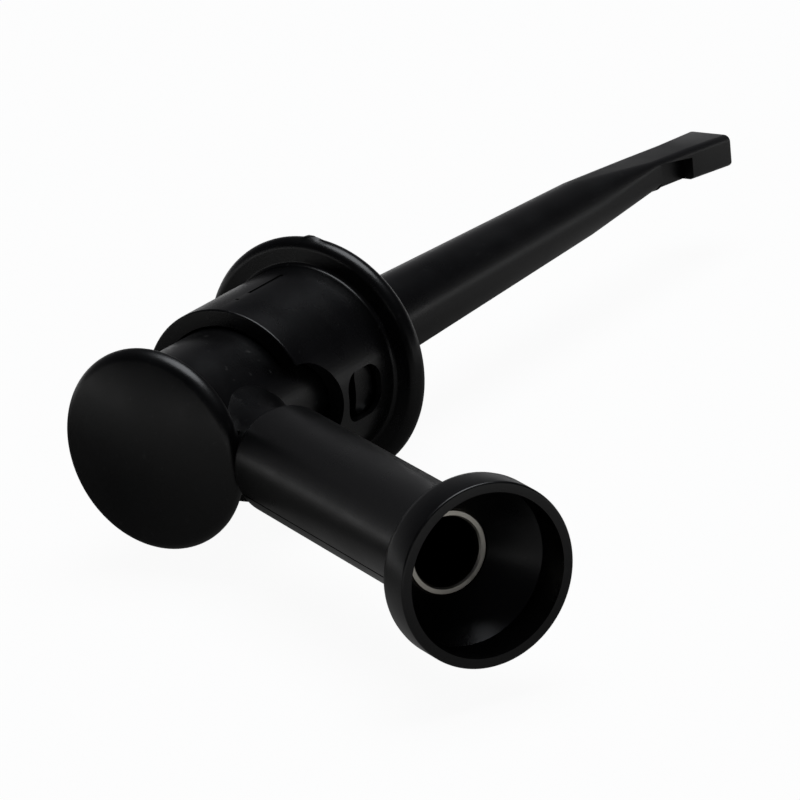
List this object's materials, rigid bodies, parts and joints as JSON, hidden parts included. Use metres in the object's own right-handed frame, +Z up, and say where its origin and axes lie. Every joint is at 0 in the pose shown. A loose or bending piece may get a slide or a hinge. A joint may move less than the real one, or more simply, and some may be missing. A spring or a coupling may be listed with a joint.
{
  "type": "test hook clip",
  "caption": "Plunger-operated test hook clip with a long insulated nose, a sprung wire hook at its tip and a swept side arm that ends in a 4 mm jack.",
  "frame": {"origin": "on the bench, under the middle of the clip's bounding box; the flange's rim touches the bench at z = 0", "axes": "+X along the plunger's axis, from the thumb cap towards the hook; +Z up from the bench; the side arm lies level, towards -Y and swept back towards -X"},
  "size_m": [0.078, 0.0394, 0.0151],
  "materials": {
    "body_plastic": "black glass-filled nylon, moulded, semi-gloss",
    "plunger_plastic": "black nylon, moulded, semi-gloss",
    "cap_plastic": "black nylon, moulded, slightly worn by the thumb",
    "arm_plastic": "black nylon, moulded, semi-gloss",
    "nickel_plate": "turned brass, nickel plated",
    "bare_brass": "turned brass, bare",
    "gold_plate": "beryllium copper wire, gold plated",
    "spring_steel": "drawn stainless spring wire"
  },
  "bodies": {
    "body": {"barrel_body": "body_plastic", "return_spring": "spring_steel"},
    "plunger": {"plunger_stem": "plunger_plastic", "thumb_cap": "cap_plastic", "jack_insulator": "arm_plastic", "jack_socket": "nickel_plate", "contact_ferrule": "bare_brass", "hook_contact": "gold_plate"}
  },
  "joints": [
    {"name": "plunger_slide", "type": "slide", "parent": "body", "child": "plunger", "axis": [1, 0, 0], "range_m": [0, 0.004], "stiffness_N_per_m": 700, "springref_m": -0.0036, "deforming": ["return_spring"]}
  ]
}
